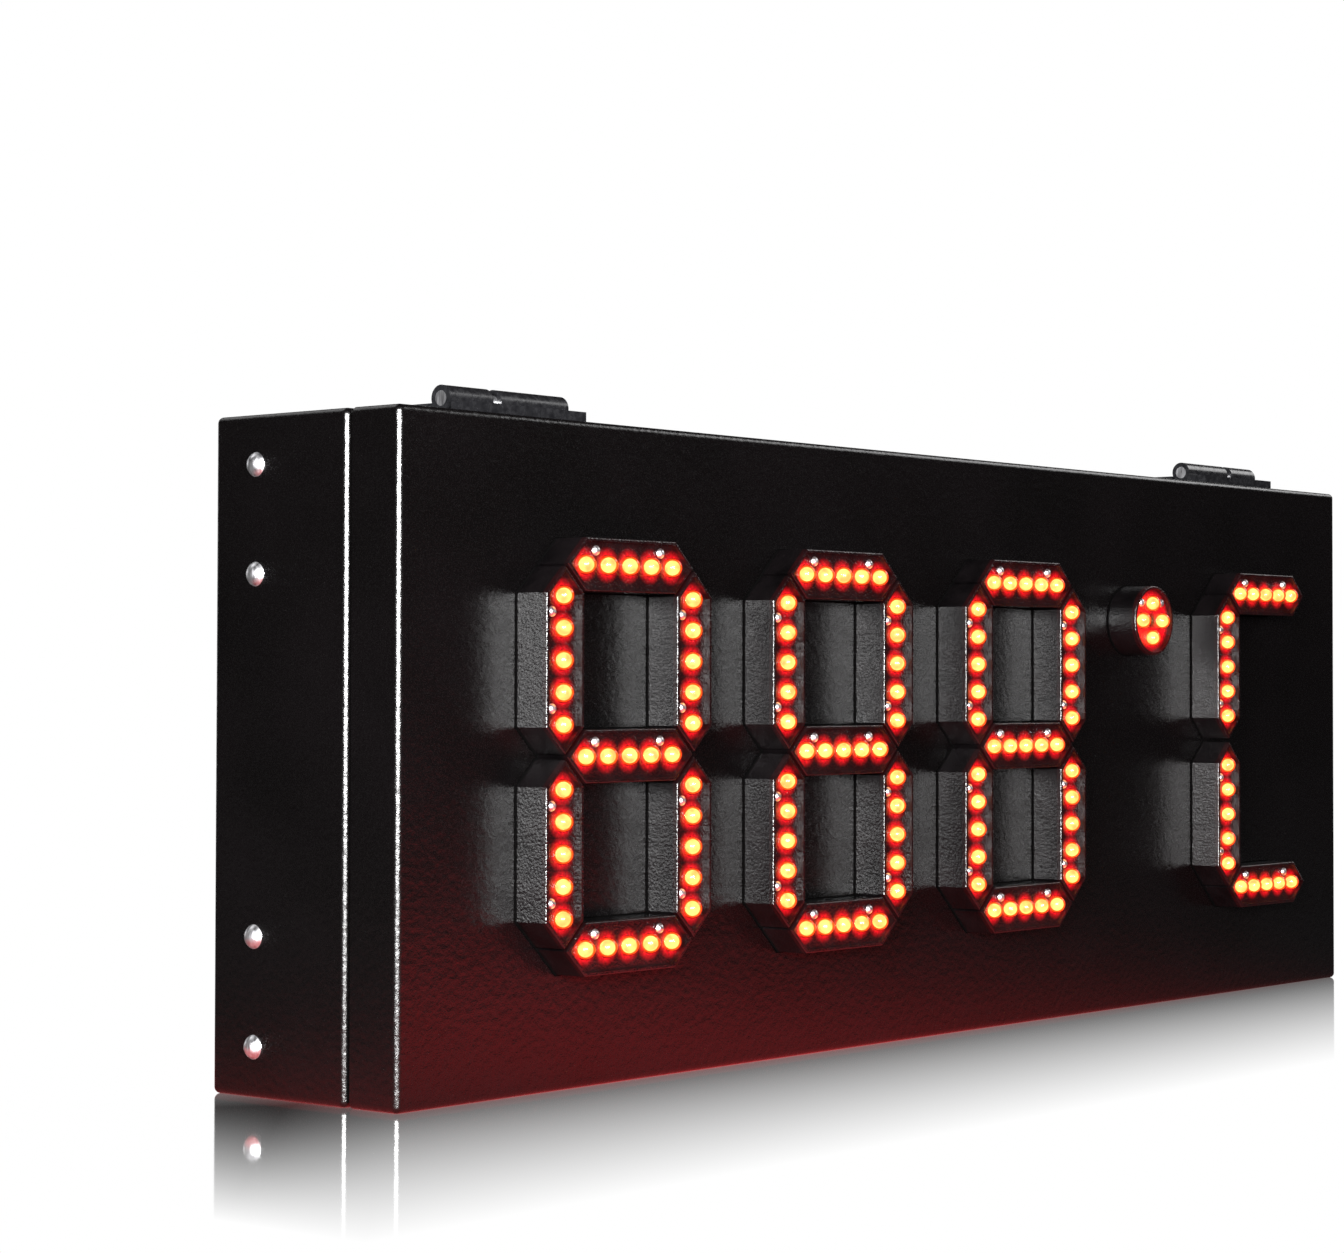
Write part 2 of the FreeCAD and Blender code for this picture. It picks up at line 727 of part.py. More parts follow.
def build_hinges():
    inner = "hinge_length - outer_knuckle - knuckle_gap"
    for label, side in (("left", -1), ("right", 1)):
        hinge_leaf("hinge_rear_leaf_" + label, side, 1, "rear_leaf_depth", "0", "outer_knuckle",
                   REAR_SCREW_REACH)
        hinge_leaf("hinge_front_leaf_" + label, side, -1, "front_leaf_depth",
                   "outer_knuckle + knuckle_gap", inner, FRONT_SCREW_REACH)
        low = hinge_start(side, 0, SIZE["hinge_length"])
        name = "hinge_pin_" + label
        keep(cylinder(name, "pin_radius", "hinge_length", place(low, HINGE_Y, HINGE_Z, TO_RIGHT)), name)
    head = cone("hinge_screw_head", "hinge_screw_radius", "hinge_screw_head_radius",
                "hinge_screw_head_depth", place(0, 0, -SIZE["hinge_screw_head_depth"]))
    shank = cylinder("hinge_screw_shank", "hinge_screw_radius", "hinge_screw_length",
                     place(0, 0, -SIZE["hinge_screw_length"] - SIZE["hinge_screw_head_depth"]))
    screw = fuse("hinge_screw", [head, shank])
    top = TOP_Z + SIZE["leaf_thickness"]
    for name, toward, reach in (("rear", 1, REAR_SCREW_REACH), ("front", -1, FRONT_SCREW_REACH)):
        y = HINGE_Y + toward * number(reach)
        spots = [place(number(x), y, top) for x in hinge_screw_places()]
        scatter("hinge_%s_screws" % name, screw, spots)


# ---- screws on the sides -----------------------------------------------------

def build_side_screws():
    """Domed screws outside, and the rivet nuts that hold them, each along its own +Z."""
    half_width = SIZE["cabinet_width"] / 2
    head = dome("side_screw_head", "side_screw_head_radius", "side_screw_head_height")
    shank = cylinder("side_screw_shank", "side_screw_radius", "side_screw_length",
                     place(0, 0, -SIZE["side_screw_length"]))
    screw = fuse("side_screw", [head, shank])
    sleeve = cylinder("rivet_nut_sleeve", "rivet_nut_radius", "rivet_nut_length",
                      place(0, 0, -SIZE["rivet_nut_length"]))
    bulge_top = -SIZE["sheet_gauge"]
    bulge = cylinder("rivet_nut_bulge", "rivet_nut_bulge_radius", "rivet_nut_bulge_length",
                     place(0, 0, bulge_top - SIZE["rivet_nut_bulge_length"]))
    bore = cylinder("rivet_nut_bore", "rivet_nut_bore_radius", "rivet_nut_length + 2",
                    place(0, 0, -SIZE["rivet_nut_length"] - 1))
    nut = cut("rivet_nut", fuse("rivet_nut_outside", [sleeve, bulge]), bore)
    spots = []
    for side, turn in ((-1, TO_LEFT), (1, TO_RIGHT)):
        for rise in side_screw_rises():
            spots.append(place(side * half_width, -SIZE["side_screw_inset"], number(rise), turn))
    scatter("side_screws", screw, spots)
    scatter("side_rivet_nuts", nut, spots)


# ---- locks -------------------------------------------------------------------

CAM_FINGER_FROM = 160.0
CAM_FINGER_TO = 205.0
CAM_ARM_TO = 220.0


def ring_sector(inner, outer, start, stop, height):
    """Part of a flat ring about the z axis, between two angles in degrees."""
    def arc(radius, first, last):
        angles = [math.radians(first), math.radians((first + last) / 2), math.radians(last)]
        points = [FreeCAD.Vector(radius * math.cos(a), radius * math.sin(a), 0) for a in angles]
        return Part.Arc(*points).toShape()

    outside = arc(outer, start, stop)
    inside = arc(inner, stop, start)
    first = Part.LineSegment(outside.Vertexes[-1].Point, inside.Vertexes[0].Point).toShape()
    last = Part.LineSegment(inside.Vertexes[-1].Point, outside.Vertexes[0].Point).toShape()
    face = Part.Face(Part.Wire([outside, first, inside, last]))
    return face.extrude(FreeCAD.Vector(0, 0, height))


def hooked_cam(name, x, z):
    """The lock's cam: a hub, an arm and a finger that turns in behind the striker's post."""
    thick = SIZE["cam_thickness"]
    inner = SIZE["post_reach"] + SIZE["post_radius"] + SIZE["cam_play"]
    outer = inner + SIZE["cam_finger_width"]
    hub = Part.makeCylinder(SIZE["cam_hub_radius"], thick)
    finger = ring_sector(inner, outer, CAM_FINGER_FROM, CAM_ARM_TO, thick)
    arm = ring_sector(SIZE["cam_hub_radius"] / 2, inner + 1, CAM_FINGER_TO, CAM_ARM_TO, thick)
    bore = Part.makeCylinder(SIZE["lock_core_radius"] / 2, thick)
    item = doc.addObject("Part::Feature", name)
    item.Shape = hub.fuse([finger, arm]).cut(bore).removeSplitter()
    item.Placement = place(x, LOCK_Y, z)
    return keep(item, name)


def build_locks():
    bottom = -TOP_Z
    flange_z = bottom + SIZE["sheet_gauge"]
    cam_z = bottom + SIZE["lock_core_height"]
    for label, side in (("left", -1), ("right", 1)):
        x = side * SIZE["lock_across"]
        name = "lock_housing_" + label
        barrel = cylinder(name + "_barrel", "lock_barrel_radius", "lock_barrel_height",
                          place(x, LOCK_Y, bottom))
        flange = cylinder(name + "_flange", "lock_flange_radius", "lock_flange_thickness",
                          place(x, LOCK_Y, flange_z))
        bore = cylinder(name + "_bore", "lock_bore_radius", "lock_barrel_height + 2",
                        place(x, LOCK_Y, bottom - 1))
        keep(cut(name, fuse(name + "_outside", [barrel, flange]), bore), name)
        name = "lock_core_" + label
        core = cylinder(name + "_rod", "lock_core_radius", "lock_core_height", place(x, LOCK_Y, bottom))
        stub = cylinder(name + "_stub", "lock_core_radius / 2", "cam_thickness", place(x, LOCK_Y, cam_z))
        half_key = SIZE["lock_key_size"] / 2
        key = block(name + "_key", "lock_key_size", "lock_key_size", "lock_key_depth",
                    place(x - half_key, LOCK_Y - half_key, bottom - 0.01))
        keep(cut(name, fuse(name + "_solid", [core, stub]), key), name)
        hooked_cam("lock_cam_" + label, x, cam_z)


def build_strikers():
    """A bracket on the cabinet's floor behind each lock, reaching forward with a post."""
    half = SIZE["striker_width"] / 2
    gauge = SIZE["striker_gauge"]
    floor = -TOP_Z + SIZE["sheet_gauge"]
    tab_z = floor + SIZE["striker_rise"] - gauge
    riser_y = -SIZE["body_depth"] + SIZE["lip_width"]
    post_y = LOCK_Y + SIZE["post_reach"]
    items = []
    for label, side in (("left", -1), ("right", 1)):
        x = side * SIZE["lock_across"]
        name = "striker_" + label
        foot = block(name + "_foot", "striker_width", "striker_width", "striker_gauge",
                     place(x - half, riser_y, floor))
        riser = block(name + "_riser", "striker_width", "striker_gauge", "striker_rise",
                      place(x - half, riser_y, floor))
        reach = riser_y - post_y + SIZE["post_radius"] + 2 + gauge
        tab = block(name + "_tab", "striker_width", str(reach), "striker_gauge",
                    place(x - half, riser_y + gauge - reach, tab_z))
        post = cylinder(name + "_post", "post_radius",
                        "lock_core_height + cam_thickness - striker_rise + 1", place(x, post_y, tab_z))
        items.append(fuse(name, [foot, riser, tab, post]))
    group = doc.addObject("Part::Compound", "lock_strikers")
    group.Links = items
    keep(group, "lock_strikers")


# ---- cable gland -------------------------------------------------------------

def hexagon_prism(name, flats, height, placement):
    prism = doc.addObject("Part::Prism", name)
    prism.Polygon = 6
    prism.setExpression("Circumradius", bound("( %s ) / sqrt( 3 )" % flats))
    prism.setExpression("Height", bound(height))
    prism.Placement = placement
    return prism


def build_gland():
    """The cable inlet in the right side, along +X, and its nut inside the wall."""
    half_width = SIZE["cabinet_width"] / 2
    y = -SIZE["gland_from_back"]
    z = SIZE["gland_rise"]
    collar = hexagon_prism("gland_collar", "gland_collar_flats", "gland_collar_length",
                           place(half_width, y, z, TO_RIGHT))
    cap = cone("gland_cap", "gland_dome_radius", "gland_dome_radius * 0.7", "gland_dome_length",
               place(half_width + SIZE["gland_collar_length"], y, z, TO_RIGHT))
    thread = cylinder("gland_thread", "gland_thread_radius", "gland_thread_length",
                      place(half_width - SIZE["gland_thread_length"], y, z, TO_RIGHT))
    bore = cylinder("gland_bore", "gland_bore_radius",
                    "gland_thread_length + gland_collar_length + gland_dome_length + 2",
                    place(half_width - SIZE["gland_thread_length"] - 1, y, z, TO_RIGHT))
    keep(cut("cable_gland", fuse("gland_outside", [collar, cap, thread]), bore), "cable_gland")
    inner_wall = half_width - SIZE["sheet_gauge"]
    nut = hexagon_prism("gland_nut_outside", "gland_nut_flats", "gland_nut_length",
                        place(inner_wall - SIZE["gland_nut_length"], y, z, TO_RIGHT))
    nut_bore = cylinder("gland_nut_bore", "gland_thread_radius", "gland_nut_length + 2",
                        place(inner_wall - SIZE["gland_nut_length"] - 1, y, z, TO_RIGHT))
    keep(cut("gland_nut", nut, nut_bore), "gland_nut")


# ---- power supply and controller ---------------------------------------------

def build_electronics():
    wall = -SIZE["sheet_gauge"]
    half_width = SIZE["supply_width"] / 2
    supply = block("power_supply", "supply_width", "supply_depth", "supply_height",
                   place(SIZE["supply_across"] - half_width, wall - SIZE["supply_depth"],
                         -SIZE["supply_height"] / 2))
    keep(supply, "power_supply")
    terminals = block("supply_terminals", "terminal_width", "terminal_depth", "terminal_height",
                      place(SIZE["supply_across"] + half_width, wall - SIZE["terminal_depth"],
                            -SIZE["terminal_height"] / 2))
    keep(terminals, "supply_terminals")
    board_back = wall - SIZE["standoff_length"]
    board_front = board_back - SIZE["board_thickness"]
    low_x = SIZE["board_across"] - SIZE["board_width"] / 2
    low_z = -SIZE["board_height"] / 2
    board = block("controller_board", "board_width", "board_thickness", "board_height",
                  place(low_x, board_front, low_z))
    keep(board, "controller_board")
    standoff = cylinder("standoff", "standoff_radius", "standoff_length", place(0, 0, 0))
    spots = []
    for right in (-1, 1):
        for up in (-1, 1):
            x = SIZE["board_across"] + right * (SIZE["board_width"] / 2 - SIZE["standoff_inset"])
            z = up * (SIZE["board_height"] / 2 - SIZE["standoff_inset"])
            spots.append(place(x, wall, z, TO_FRONT))
    scatter("board_standoffs", standoff, spots)
    chips = []
    # Chips and connectors on the board: (across, up, width, height) from its centre.
    layout = [
        (0, 8, 14, 14),
        (-34, 12, 8, 20),
        (34, 12, 8, 20),
        (-38, -30, 30, 9),
        (20, -30, 44, 9),
        (45, 32, 12, 8),
    ]
    for index, (across, up, width, height) in enumerate(layout):
        chips.append(block("chip_%d" % index, str(width), "chip_height", str(height),
                           place(SIZE["board_across"] + across - width / 2,
                                 board_front - SIZE["chip_height"], up - height / 2)))
    group = doc.addObject("Part::Compound", "controller_chips")
    group.Links = chips
    keep(group, "controller_chips")


# ---- build, check and write --------------------------------------------------

build_cabinet()
build_door()
build_seal()
build_characters()
build_hinges()
build_side_screws()
build_locks()
build_strikers()
build_gland()
build_electronics()
doc.recompute()

for item in doc.Objects:
    if "Invalid" in item.State or "Error" in item.State:
        raise RuntimeError("%s failed: %s" % (item.Name, item.State))

os.makedirs("parts", exist_ok=True)
for item in PARTS:
    shape = item.Shape
    if shape.isNull() or not shape.isValid() or not shape.Solids:
        raise RuntimeError(item.Label + " has no valid shape")
    shape.exportStep("parts/%s.step" % item.Label)
print("%d sub-parts written" % len(PARTS))
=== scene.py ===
import bpy
import bmesh
import json
import math
from mathutils import Matrix, Vector


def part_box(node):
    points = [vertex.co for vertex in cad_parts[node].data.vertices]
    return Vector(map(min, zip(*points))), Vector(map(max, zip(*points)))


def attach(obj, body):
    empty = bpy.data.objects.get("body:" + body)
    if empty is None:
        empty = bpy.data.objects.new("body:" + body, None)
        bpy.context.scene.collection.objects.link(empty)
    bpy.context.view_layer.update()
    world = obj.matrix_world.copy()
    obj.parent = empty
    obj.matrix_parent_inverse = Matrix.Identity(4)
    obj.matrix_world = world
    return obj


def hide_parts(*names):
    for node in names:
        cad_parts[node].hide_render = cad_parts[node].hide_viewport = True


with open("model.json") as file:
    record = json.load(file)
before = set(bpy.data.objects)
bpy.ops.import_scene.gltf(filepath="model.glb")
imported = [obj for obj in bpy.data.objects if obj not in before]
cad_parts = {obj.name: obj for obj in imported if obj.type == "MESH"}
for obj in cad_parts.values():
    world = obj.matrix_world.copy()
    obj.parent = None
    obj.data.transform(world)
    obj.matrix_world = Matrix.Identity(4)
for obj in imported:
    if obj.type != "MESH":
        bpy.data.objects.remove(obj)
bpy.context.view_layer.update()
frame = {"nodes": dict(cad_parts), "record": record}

NODES = frame["nodes"]

# ---- sizes in metres, from the frame where it has them -------------------------

BODY_LOW, BODY_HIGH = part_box("cabinet_shell")
HALF_WIDTH = BODY_HIGH.x
PANEL_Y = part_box("door_pan")[0].y
MM = 0.001

LED_PITCH = 12.5 * MM
LED_RADIUS = 4.0 * MM
HALO_SHARE = 0.93                # radii inside a lens, as shares of its own
CORE_SHARE = 0.76
NEAR_GLOW = 7.6 * MM             # how far from an LED's middle its painted red glow reaches
WIDE_GLOW = 13.0 * MM
LEVEL_LENGTH = 73.0 * MM         # a level segment, tip to tip
RIM_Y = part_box("digit_1_segment_a")[0].y
FACE_Y = RIM_Y + 2.0 * MM        # the segments' faces are sunk behind a rim
CHARACTERS = {"digit_1": "abcdefg", "digit_2": "abcdefg", "digit_3": "abcdefg", "letter_c": "adef"}
UPRIGHT = "bcef"


def centre_of(node):
    low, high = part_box(node)
    return (low + high) / 2


# ---- node helpers -------------------------------------------------------------

class Shader:
    """A material's node tree, with short calls for the nodes used here."""

    def __init__(self, name):
        self.material = bpy.data.materials.new(name)
        self.material.use_nodes = True
        self.tree = self.material.node_tree
        self.tree.nodes.clear()
        self.output = self.add("ShaderNodeOutputMaterial")

    def add(self, kind, **settings):
        node = self.tree.nodes.new(kind)
        for key, value in settings.items():
            setattr(node, key, value)
        return node

    def link(self, source, target):
        self.tree.links.new(source, target)

    def principled(self, **values):
        node = self.add("ShaderNodeBsdfPrincipled")
        for key, value in values.items():
            node.inputs[key.replace("_", " ")].default_value = value
        self.link(node.outputs["BSDF"], self.output.inputs["Surface"])
        return node

    def position(self):
        return self.add("ShaderNodeTexCoord").outputs["Object"]

    def noise(self, scale, detail=2.0, stretch=None):
        node = self.add("ShaderNodeTexNoise")
        node.inputs["Scale"].default_value = scale
        node.inputs["Detail"].default_value = detail
        where = self.position()
        if stretch is not None:
            mapping = self.add("ShaderNodeMapping")
            mapping.inputs["Scale"].default_value = stretch
            self.link(where, mapping.inputs["Vector"])
            where = mapping.outputs["Vector"]
        self.link(where, node.inputs["Vector"])
        return node.outputs["Fac"]

    def ramp(self, factor, stops):
        node = self.add("ShaderNodeValToRGB")
        elements = node.color_ramp.elements
        while len(elements) < len(stops):
            elements.new(0.5)
        for element, (place, colour) in zip(elements, stops):
            element.position = place
            element.color = (*colour, 1.0)
        self.link(factor, node.inputs["Fac"])
        return node.outputs["Color"]

    def spread(self, factor, low, high, start=0.3, stop=0.7):
        node = self.add("ShaderNodeMapRange")
        node.inputs["From Min"].default_value = start
        node.inputs["From Max"].default_value = stop
        node.inputs["To Min"].default_value = low
        node.inputs["To Max"].default_value = high
        self.link(factor, node.inputs["Value"])
        return node.outputs["Result"]

    def math(self, operation, first, second=None):
        node = self.add("ShaderNodeMath", operation=operation)
        for socket, value in zip(node.inputs, (first, second)):
            if value is None:
                continue
            if isinstance(value, (int, float)):
                socket.default_value = value
            else:
                self.link(value, socket)
        return node.outputs["Value"]

    def bump(self, shader, height, strength, distance):
        node = self.add("ShaderNodeBump")
        node.inputs["Strength"].default_value = strength
        node.inputs["Distance"].default_value = distance
        self.link(height, node.inputs["Height"])
        self.link(node.outputs["Normal"], shader.inputs["Normal"])


# ---- materials ----------------------------------------------------------------

def powder_coat():
    """Black gloss powder coat: orange peel, a fine mottle, and a little dust in the gloss."""
    s = Shader("powder_coat")
    shader = s.principled(Roughness=0.14, IOR=1.5)
    peel = s.noise(330.0, 3.0)
    dust = s.noise(2600.0, 2.0)
    cloud = s.noise(14.0, 4.0)
    colour = s.ramp(cloud, [(0.3, (0.0005, 0.0004, 0.0004)), (0.75, (0.0012, 0.0009, 0.0010))])
    s.link(colour, shader.inputs["Base Color"])
    s.link(s.spread(dust, 0.16, 0.32), shader.inputs["Roughness"])
    s.bump(shader, s.math("ADD", peel, s.math("MULTIPLY", dust, 0.25)), 0.8, 0.0003)
    return s.material


def gloss_moulding(name, glow):
    """The segments' gloss black plastic, with a painted red glow around each LED. It isn't lit by them:
    the plastic gives out the red itself as painted light, less with the distance in metres that the
    nodes made by glow return."""
    s = Shader(name)
    shader = s.principled(Roughness=0.1, IOR=1.5)
    wave = s.noise(90.0, 2.0)
    grain = s.noise(850.0, 3.0)
    colour = s.ramp(wave, [(0.3, (0.0010, 0.0008, 0.0009)), (0.7, (0.0026, 0.0020, 0.0022))])
    s.link(colour, shader.inputs["Base Color"])
    s.link(s.spread(grain, 0.05, 0.24), shader.inputs["Roughness"])
    s.bump(shader, s.math("ADD", grain, wave), 0.9, 0.0005)
    where = s.add("ShaderNodeSeparateXYZ")
    s.link(s.position(), where.inputs["Vector"])
    distance = glow(s, where.outputs["X"], where.outputs["Z"])
    # near and wide shape the painted red glow on the plastic: it is emission, not light from the LEDs
    near = s.spread(distance, 1.0, 0.0, LED_RADIUS, NEAR_GLOW)
    wide = s.spread(distance, 0.035, 0.0, LED_RADIUS, WIDE_GLOW)
    bright = s.math("ADD", s.math("MULTIPLY", s.math("POWER", near, 1.7), 1.1), wide)
    bright = s.math("MULTIPLY", bright, s.spread(grain, 0.6, 1.4))
    front = s.math("LESS_THAN", where.outputs["Y"], FACE_Y + 0.4 * MM)
    s.link(s.math("MULTIPLY", bright, front), shader.inputs["Emission Strength"])
    shader.inputs["Emission Color"].default_value = (1.0, 0.004, 0.012, 1.0)
    return s.material


def length_of(s, first, second):
    squares = s.math("ADD", s.math("MULTIPLY", first, first), s.math("MULTIPLY", second, second))
    return s.math("SQRT", squares)


def beyond_row(s, along):
    """How far a place along a segment is from the nearest of its five LEDs."""
    wrap = s.add("ShaderNodeMath", operation="WRAP")
    s.link(along, wrap.inputs[0])
    wrap.inputs[1].default_value = LED_PITCH / 2
    wrap.inputs[2].default_value = -LED_PITCH / 2
    past_end = s.math("SUBTRACT", s.math("ABSOLUTE", along), 2 * LED_PITCH)
    return s.math("MAXIMUM", s.math("ABSOLUTE", wrap.outputs["Value"]), past_end)


def row_glow(centre, upright):
    """How far a point is from the nearest LED of a character's upright or level segments."""
    def distance(s, x, z):
        right = s.math("SUBTRACT", x, centre.x)
        up = s.math("SUBTRACT", z, centre.z)
        if upright:
            across = s.math("SUBTRACT", s.math("ABSOLUTE", right), 3 * LED_PITCH)
            along = beyond_row(s, s.math("SUBTRACT", s.math("ABSOLUTE", up), 3 * LED_PITCH))
        else:
            level = s.math("ABSOLUTE", s.math("SUBTRACT", s.math("ABSOLUTE", up), 3 * LED_PITCH))
            across = s.math("SUBTRACT", 3 * LED_PITCH, level)
            along = beyond_row(s, right)
        return length_of(s, across, along)
    return distance


def ring_glow(centre, ring):
    """How far a point is from the circle on which the degree mark's LEDs stand."""
    def distance(s, x, z):
        radius = length_of(s, s.math("SUBTRACT", x, centre.x), s.math("SUBTRACT", z, centre.z))
        return s.math("ABSOLUTE", s.math("SUBTRACT", radius, ring))
    return distance


def painted_cast():
    """Black paint over the cast hinge leaves, worn a little greyer on the high spots."""
    s = Shader("painted_cast")
    shader = s.principled(Roughness=0.2, IOR=1.5)
    pits = s.noise(420.0, 4.0)
    colour = s.ramp(pits, [(0.25, (0.003, 0.003, 0.0035)), (0.85, (0.010, 0.010, 0.011))])
    s.link(colour, shader.inputs["Base Color"])
    s.link(s.spread(pits, 0.16, 0.34), shader.inputs["Roughness"])
    s.bump(shader, pits, 0.3, 0.00015)
    return s.material


def bright_steel():
    """Polished screws and pins, with turning marks and a dull bloom."""
    s = Shader("bright_steel")
    shader = s.principled(Roughness=0.35, Metallic=1.0)
    turned = s.noise(900.0, 2.0, (1.0, 1.0, 0.15))
    colour = s.ramp(turned, [(0.2, (0.74, 0.74, 0.77)), (0.8, (0.93, 0.93, 0.95))])
    s.link(colour, shader.inputs["Base Color"])
    s.link(s.spread(turned, 0.26, 0.42), shader.inputs["Roughness"])
    s.bump(shader, turned, 0.1, 0.00005)
    return s.material


def zinc_plate():
    s = Shader("zinc_plate")
    shader = s.principled(Roughness=0.4, Metallic=1.0)
    spangle = s.noise(220.0, 3.0)
    colour = s.ramp(spangle, [(0.3, (0.38, 0.39, 0.41)), (0.7, (0.58, 0.59, 0.62))])
    s.link(colour, shader.inputs["Base Color"])
    s.link(s.spread(spangle, 0.32, 0.5), shader.inputs["Roughness"])
    return s.material


def satin_chrome():
    s = Shader("satin_chrome")
    shader = s.principled(Roughness=0.18, Metallic=1.0)
    brushed = s.noise(700.0, 2.0, (1.0, 1.0, 0.1))
    colour = s.ramp(brushed, [(0.3, (0.55, 0.55, 0.57)), (0.7, (0.72, 0.72, 0.74))])
    s.link(colour, shader.inputs["Base Color"])
    s.link(s.spread(brushed, 0.12, 0.26), shader.inputs["Roughness"])
    return s.material


def cell_foam():
    s = Shader("cell_foam")
    shader = s.principled(Roughness=0.9)
    cells = s.noise(1500.0, 2.0)
    colour = s.ramp(cells, [(0.3, (0.006, 0.006, 0.006)), (0.7, (0.018, 0.018, 0.018))])
    s.link(colour, shader.inputs["Base Color"])
    s.bump(shader, cells, 0.6, 0.0003)
    return s.material


def solder_mask():
    s = Shader("solder_mask")
    shader = s.principled(Roughness=0.35, IOR=1.5)
    weave = s.noise(500.0, 1.0)
    colour = s.ramp(weave, [(0.3, (0.006, 0.075, 0.028)), (0.7, (0.010, 0.110, 0.042))])
    s.link(colour, shader.inputs["Base Color"])
    s.link(s.spread(weave, 0.28, 0.45), shader.inputs["Roughness"])
    return s.material


def contact_shade_bead():
    """Near black and matt, taking up nearly all light: the painted contact shade of the beads where the
    housings meet the panel.
    """
    s = Shader("contact_shade_bead")
    shader = s.principled(Roughness=1.0, Specular_IOR_Level=0.0)
    cells = s.noise(1500.0, 2.0)
    colour = s.ramp(cells, [(0.3, (0.0006, 0.0006, 0.0006)), (0.7, (0.0016, 0.0015, 0.0015))])
    s.link(colour, shader.inputs["Base Color"])
    s.bump(shader, cells, 0.5, 0.0001)
    return s.material


def matt_moulding(name="matt_moulding", tone=0.02):
    s = Shader(name)
    shader = s.principled(Roughness=0.55)
    grain = s.noise(900.0, 2.0)
    colour = s.ramp(grain, [(0.3, (tone * 0.7,) * 3), (0.7, (tone * 1.2,) * 3)])
    s.link(colour, shader.inputs["Base Color"])
    s.link(s.spread(grain, 0.45, 0.65), shader.inputs["Roughness"])
    s.bump(shader, grain, 0.2, 0.0001)
    return s.material


def sheet_case():
    s = Shader("sheet_case")
    shader = s.principled(Roughness=0.4, Metallic=1.0)
    rolled = s.noise(500.0, 3.0, (0.05, 1.0, 1.0))
    colour = s.ramp(rolled, [(0.3, (0.48, 0.49, 0.50)), (0.7, (0.66, 0.67, 0.68))])
    s.link(colour, shader.inputs["Base Color"])
    s.link(s.spread(rolled, 0.3, 0.5), shader.inputs["Roughness"])
    return s.material


def add_shaders(s, first, second):
    node = s.add("ShaderNodeAddShader")
    s.link(first.outputs[0], node.inputs[0])
    s.link(second.outputs[0], node.inputs[1])
    return node


def glowing_epoxy(name, tint, light, strength, gloss):
    """Clear tinted epoxy that glows from the light inside it, with a polished surface."""
    s = Shader(name)
    cloud = s.noise(700.0, 1.0)
    clear = s.add("ShaderNodeBsdfTransparent")
    clear.inputs["Color"].default_value = (*tint, 1.0)
    shine = s.add("ShaderNodeEmission")
    shine.inputs["Color"].default_value = (*light, 1.0)
    s.link(s.spread(cloud, strength * 0.85, strength * 1.15), shine.inputs["Strength"])
    body = add_shaders(s, clear, shine)
    polish = s.add("ShaderNodeBsdfGlossy")
    s.link(s.spread(cloud, 0.04, 0.12), polish.inputs["Roughness"])
    edge = s.add("ShaderNodeFresnel")
    edge.inputs["IOR"].default_value = gloss
    mix = s.add("ShaderNodeMixShader")
    s.link(edge.outputs["Fac"], mix.inputs["Fac"])
    s.link(body.outputs[0], mix.inputs[1])
    s.link(polish.outputs[0], mix.inputs[2])
    s.link(mix.outputs[0], s.output.inputs["Surface"])
    return s.material


def lit_core():
    """The die and its cup, burnt out to yellow white in the middle."""
    s = Shader("lit_core")
    shader = s.principled(Base_Color=(0.02, 0.0, 0.0, 1.0), Roughness=0.5)
    shader.inputs["Emission Color"].default_value = (1.0, 0.72, 0.24, 1.0)
    s.link(s.spread(s.noise(260.0, 1.0), 1.05, 2.1), shader.inputs["Emission Strength"])
    return s.material


SLOT_MATERIALS = {
    "painted_steel": powder_coat(),
    "painted_hinge": painted_cast(),
    "bright_steel": bright_steel(),
    "zinc_steel": zinc_plate(),
    "lock_chrome": satin_chrome(),
    "led_lens": glowing_epoxy("lit_lens", (1.0, 0.86, 0.72), (1.0, 0.005, 0.01), 0.5, 1.45),
    "seal_rubber": cell_foam(),
    "circuit_board": solder_mask(),
    "chip_plastic": matt_moulding(),
    "supply_case": sheet_case(),
    "gland_nylon": matt_moulding("gland_nylon", 0.03),
}
LENS = SLOT_MATERIALS["led_lens"]
HALO = glowing_epoxy("lit_halo", (1.0, 0.95, 0.85), (1.0, 0.13, 0.005), 0.42, 1.02)
CORE = lit_core()


def degree_ring():
    """The radius of the circle on which the degree mark's LEDs stand."""
    low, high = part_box("degree_leds")
    return (high.x - low.x) / 2 - LED_RADIUS


def segment_material(node):
    """The plastic of one segment or of the degree mark, with a painted red glow where its own LEDs are.
    """
    if node == "degree_mark":
        return gloss_moulding("moulding_degree", ring_glow(centre_of("degree_leds"), degree_ring()))
    character, letter = node.split("_segment_")
    upright = letter in UPRIGHT
    name = "moulding_%s_%s" % (character, "upright" if upright else "level")
    known = bpy.data.materials.get(name)
    if known is not None:
        return known
    centre = centre_of(character + "_leds")
    if character == "letter_c":
        centre.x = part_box("letter_c_segment_a")[0].x + LEVEL_LENGTH / 2
    centre.z = (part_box(character + "_segment_a")[0].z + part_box(character + "_segment_d")[1].z) / 2
    return gloss_moulding(name, row_glow(centre, upright))


def paint_frame():
    """Gives every CAD node the procedural material of its slot."""
    for part in frame["record"]["subparts"]:
        node = NODES[part["node"]]
        node.data.materials.clear()
        if part["material_slot"] == "segment_plastic":
            node.data.materials.append(segment_material(part["node"]))
        else:
            node.data.materials.append(SLOT_MATERIALS[part["material_slot"]])


def soften(name, width):
    """Breaks the sharp edges of a CAD node with a small bevel."""
    bevel = NODES[name].modifiers.new("edge_break", "BEVEL")
    bevel.width = width
    bevel.segments = 3
    bevel.limit_method = "ANGLE"
    bevel.angle_limit = math.radians(30.0)


